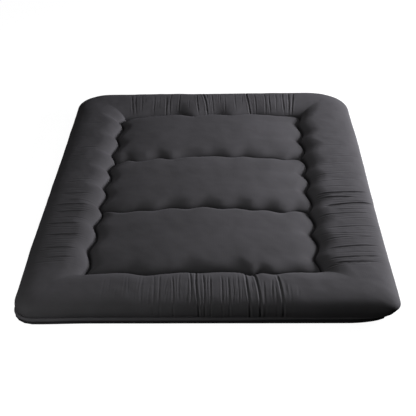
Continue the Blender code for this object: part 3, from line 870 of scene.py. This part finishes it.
welt_st = Stations(0.006)
wobble = field(np.concatenate([welt_st.outer * 1.0, np.zeros((len(welt_st.c), 1))], 1), 22.0, 8)
out_dir = np.concatenate([welt_st.normal, np.zeros((len(welt_st.c), 1))], 1)
centre = np.concatenate([
    welt_st.outer - welt_st.normal * (WELT_R + 0.0002),
    np.full((len(welt_st.c), 1), WELT_Z)], 1)
centre[:, :2] -= welt_st.normal * ((welt_st.tuck + 0.010 * welt_st.overhang) * drawn(WELT_Z))[:, None]
centre[:, :2] += welt_st.normal * flare(welt_st)[:, None]
centre[:, 2] += 0.0006 * wobble + lift(welt_st)
centre += out_dir * (0.0005 * wobble)[:, None]
p, n = tube(centre, out_dir, WELT_R * (1 + 0.03 * wobble))
welt_uv = np.stack(np.broadcast_arrays(
    welt_st.along[:, None], np.linspace(0, 0.05, p.shape[1])[None, :]), -1)
k = welt_st.split
welt_foot = to_object("welt_foot_half", [(p[:k + 1], welt_uv[:k + 1], n[:k + 1])], WELT)
welt_head = to_object("welt_head_half", [(p[k:], welt_uv[k:], n[k:])], WELT)

# ------------------------------------------------------------ the base cloth
base_st = Stations(0.012)
base_rows = [
    (0.0420, 0.0235), (0.0300, 0.0185), (0.0200, 0.0140), (0.0100, 0.0112), (0.0050, 0.0085), (0.0045, 0.0055),
    (0.0075, 0.0026), (0.0150, 0.0008), (0.0300, 0.0001), (0.1000, 0.0),
    (0.3000, 0.0), (0.5000, 0.0), (0.7000, 0.0), (0.8500, 0.0), (0.9300, 0.0006),
    (0.9700, 0.0016), (1.0000, 0.0026),
]
bf = np.array([r[0] for r in base_rows])
bz = np.array([r[1] for r in base_rows])
reach_in = bf[None, :] - (flare(base_st) / base_st.span)[:, None] * smooth((0.6 - bf) / 0.6)[None, :]
reach_in = reach_in + (base_st.tuck / base_st.span)[:, None] * (drawn(bz) * smooth((0.6 - bf) / 0.6))[None, :]
xy = base_st.outer[:, None, :] + (base_st.inner - base_st.outer)[:, None, :] * reach_in[:, :, None]
raised = bz[None, :] + lift(base_st)[:, None] * smooth((0.30 - bf) / 0.30)[None, :]
bp = np.concatenate([xy, raised[:, :, None]], 2)
bn = grid_normals(bp)
if bn[..., 2].mean() > 0:
    bn = -bn
buv = np.stack(np.broadcast_arrays(base_st.along[:, None], bf[None, :] * 0.27), -1)
bp, buv, bn = tucked_under(bp, buv, bn, 0.010, 0.0008)
bsplit = base_st.split
base_foot_grids = [(bp[:bsplit + 1], buv[:bsplit + 1], bn[:bsplit + 1])]
base_head_grids = [(bp[bsplit:], buv[bsplit:], bn[bsplit:])]
for (a, low), (b, high) in zip(SEAMS_Y, SEAMS_Y[1:]):
    rows = np.array(spaced(a, b, 0.0125))
    if a < 0 < b:
        rows = np.array(spaced(a, 0.0, 0.0125) + spaced(0.0, b, 0.0125)[1:])
    nx, ny = np.meshgrid(np.array(spaced(-SEAM_X, SEAM_X, 0.0125)), rows, indexing="ij")
    x, y = plan(nx, ny)
    edge = np.minimum.reduce([nx + SEAM_X, SEAM_X - nx, ny - a, b - ny])
    p = np.stack([x, y, 0.0026 * (1 - smooth(edge / 0.030))], -1)
    n = grid_normals(p)
    n = -n if n[..., 2].mean() > 0 else n
    uv = p[..., :2].copy()
    if b <= 0:
        base_foot_grids.append((p, uv, n))
    elif a >= 0:
        base_head_grids.append((p, uv, n))
    else:
        k = int(np.argmin(np.abs(rows)))
        base_foot_grids.append((p[:, :k + 1], uv[:, :k + 1], n[:, :k + 1]))
        base_head_grids.append((p[:, k:], uv[:, k:], n[:, k:]))
base_foot = to_object("base_cloth_foot_half", base_foot_grids, BASE)
base_head = to_object("base_cloth_head_half", base_head_grids, BASE)

# ------------------------------------------------------------- the stitching
def stitched(name, paths, pitch=0.0078, long=0.0052, radius=0.0007):
    """Short runs of thread lying end to end in the bottom of each seam."""
    grids = []
    for path in paths:
        steps = np.linalg.norm(np.diff(path, axis=0), axis=1)
        at = np.concatenate([[0], np.cumsum(steps)])
        for s in np.arange(pitch / 2, at[-1] - long / 2, pitch):
            along = s + long * np.array([-0.50, -0.42, -0.18, 0.18, 0.42, 0.50])
            mid = np.stack([np.interp(along, at, path[:, k]) for k in range(3)], 1)
            mid[:, 2] += 0.0006 * np.array([-1.6, -0.5, 0.4, 0.4, -0.5, -1.6])
            run = mid[-1] - mid[0]
            side = np.array([-run[1], run[0], 0.0])
            side /= max(np.linalg.norm(side), 1e-9)
            thick = radius * np.array([0.12, 0.8, 1.0, 1.0, 0.8, 0.12])
            p, ring = tube(mid, np.repeat(side[None, :], 6, 0), thick, 7)
            uv = np.stack(np.broadcast_arrays(
                along[:, None], np.linspace(0, 0.004, p.shape[1])[None, :]), -1)
            grids.append((p, uv, ring))
    return to_object(name, grids, STITCH)


def seam_path(nx, ny):
    x, y = plan(nx, ny)
    return np.stack([x, y, np.full(len(x), VALLEY - SEAM_TUCK + 0.0006)], 1)


ring_st = Stations(0.004)
ring = np.concatenate([ring_st.inner, np.full((len(ring_st.c), 1), VALLEY - SEAM_TUCK + 0.0006)], 1)
across = np.linspace(-SEAM_X, SEAM_X, 240)
stitch_foot = stitched("stitches_foot_half", [
    ring[:ring_st.split + 1], seam_path(across, np.full(240, -FOLD))])
stitch_head = stitched("stitches_head_half", [
    ring[ring_st.split:], seam_path(across, np.full(240, FOLD))])

# ------------------------------------------------- bake each piece in place, hide the CAD parts
for half, objs in (("foot", (cover_foot, welt_foot, base_foot, stitch_foot)),
                   ("head", (cover_head, welt_head, base_head, stitch_head))):
    for obj in objs:
        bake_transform(obj)

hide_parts("foot_cover", "foot_centre_pad", "foot_border_roll",
            "foot_foam_core", "middle_foam_core", "middle_cover", "middle_centre_pad",
            "middle_border_roll_left", "middle_border_roll_right")
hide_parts("head_cover", "head_centre_pad", "head_border_roll",
            "head_foam_core")
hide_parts("foot_border_stitching", "foot_cross_stitching",
            "middle_left_border_stitching", "middle_right_border_stitching")
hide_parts("head_border_stitching", "head_cross_stitching")
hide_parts("foot_welt", "middle_left_welt", "middle_right_welt")
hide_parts("head_welt")
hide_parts("foot_base_cloth", "middle_base_cloth")
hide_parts("head_base_cloth")

# ------------------------------------------------------------ floor and light
def disc(name, radius, z, rings=1, dome=0.0):
    """A flat disc, or with `dome` a low bowl turned over it."""
    verts, faces, n = [], [], 64
    levels = [(radius, z)] if not dome else [
        (radius * math.cos(t), z + dome * math.sin(t)) for t in np.linspace(0, 1.45, 14)]
    for r, h in levels:
        verts += [(r * math.cos(2 * math.pi * k / n), r * math.sin(2 * math.pi * k / n), h)
                  for k in range(n)]
    if dome:
        for j in range(len(levels) - 1):
            faces += [(j * n + k, j * n + (k + 1) % n, (j + 1) * n + (k + 1) % n, (j + 1) * n + k)
                      for k in range(n)]
        faces.append(tuple(range((len(levels) - 1) * n, len(levels) * n)))
    else:
        faces.append(tuple(range(n)))
    mesh = bpy.data.meshes.new(name)
    mesh.from_pydata(verts, [], faces)
    obj = bpy.data.objects.new(name, mesh)
    bpy.context.scene.collection.objects.link(obj)
    obj.visible_diffuse = False
    obj.visible_glossy = False
    obj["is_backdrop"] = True
    return obj


floor = disc("floor", 24.0, -0.0005)
fmat, ftree, fbsdf = nodes_of("floor_white")
fbsdf.inputs["Base Color"].default_value = (0.22, 0.22, 0.22, 1.0)
fbsdf.inputs["Roughness"].default_value = 0.9
fbsdf.inputs["Specular IOR Level"].default_value = 0.0
fbsdf.inputs["Emission Color"].default_value = (1.0, 1.0, 1.0, 1.0)
fbsdf.inputs["Emission Strength"].default_value = 0.965
floor.data.materials.append(fmat)

backdrop = disc("backdrop", 24.5, -0.6, dome=18.0)
backdrop.visible_shadow = False
bmat, btree, bbsdf = nodes_of("backdrop_white")
bbsdf.inputs["Base Color"].default_value = (0.0, 0.0, 0.0, 1.0)
bbsdf.inputs["Specular IOR Level"].default_value = 0.0
bbsdf.inputs["Emission Color"].default_value = (1.0, 1.0, 1.0, 1.0)
bbsdf.inputs["Emission Strength"].default_value = 1.0
backdrop.data.materials.append(bmat)


def area_light(name, azimuth, elevation, distance, size, power, colour=(1, 1, 1), aim=(0, 0, 0)):
    data = bpy.data.lights.new(name, "AREA")
    data.shape = "RECTANGLE"
    data.size = data.size_y = size
    data.energy = power
    data.color = colour
    obj = bpy.data.objects.new(name, data)
    a, e = math.radians(azimuth), math.radians(elevation)
    away = Vector((math.cos(a) * math.cos(e), math.sin(a) * math.cos(e), math.sin(e))) * distance
    obj.location = Vector(aim) + away
    obj.rotation_mode = "QUATERNION"
    obj.rotation_quaternion = (-away).to_track_quat("-Z", "Y")
    bpy.context.scene.collection.objects.link(obj)
    return obj


# Azimuth 0 is the mattress's right side and 90 its head end.
area_light("key_side", 14, 16.0, 3.3, 1.0, 186, (0.955, 0.940, 1.0))
area_light("top", 30, 60, 2.6, 1.6, 13, (1.0, 0.98, 1.0))
area_light("fill_front", 240, 13, 2.3, 1.2, 7.5, (1.0, 1.0, 1.0))
area_light("fill_high", 240, 60, 2.6, 1.6, 4.3, (1.0, 1.0, 1.0))

world = bpy.data.worlds.new("studio")
bpy.context.scene.world = world
world.use_nodes = True
background = world.node_tree.nodes["Background"]
background.inputs["Color"].default_value = (1.0, 1.0, 1.0, 1.0)
background.inputs["Strength"].default_value = 0.01

# -------------------------------------------------------------------- camera
PITCH, YAW, ROLL = 0.53985, 0.03915, -0.02577
cp, sp, cy, sy = math.cos(PITCH), math.sin(PITCH), math.cos(YAW), math.sin(YAW)
forward = Vector((-sy * cp, cy * cp, -sp))
right = Vector((cy, sy, 0.0))
upward = right.cross(forward)
right, upward = (
    math.cos(ROLL) * right + math.sin(ROLL) * upward,
    -math.sin(ROLL) * right + math.cos(ROLL) * upward,
)
cam_data = bpy.data.cameras.new("camera")
cam_data.sensor_width = 36.0
cam_data.lens = 912.25 / 416 * 36.0
cam_data.clip_start, cam_data.clip_end = 0.05, 200.0
cam = bpy.data.objects.new("camera", cam_data)
turn = Matrix((right, upward, -forward)).transposed()
cam.matrix_world = Matrix.Translation((0.1437, -3.82317, 2.21105)) @ turn.to_4x4()
bpy.context.scene.collection.objects.link(cam)
bpy.context.scene.camera = cam
bpy.context.scene.view_settings.view_transform = "Standard"

low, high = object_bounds()
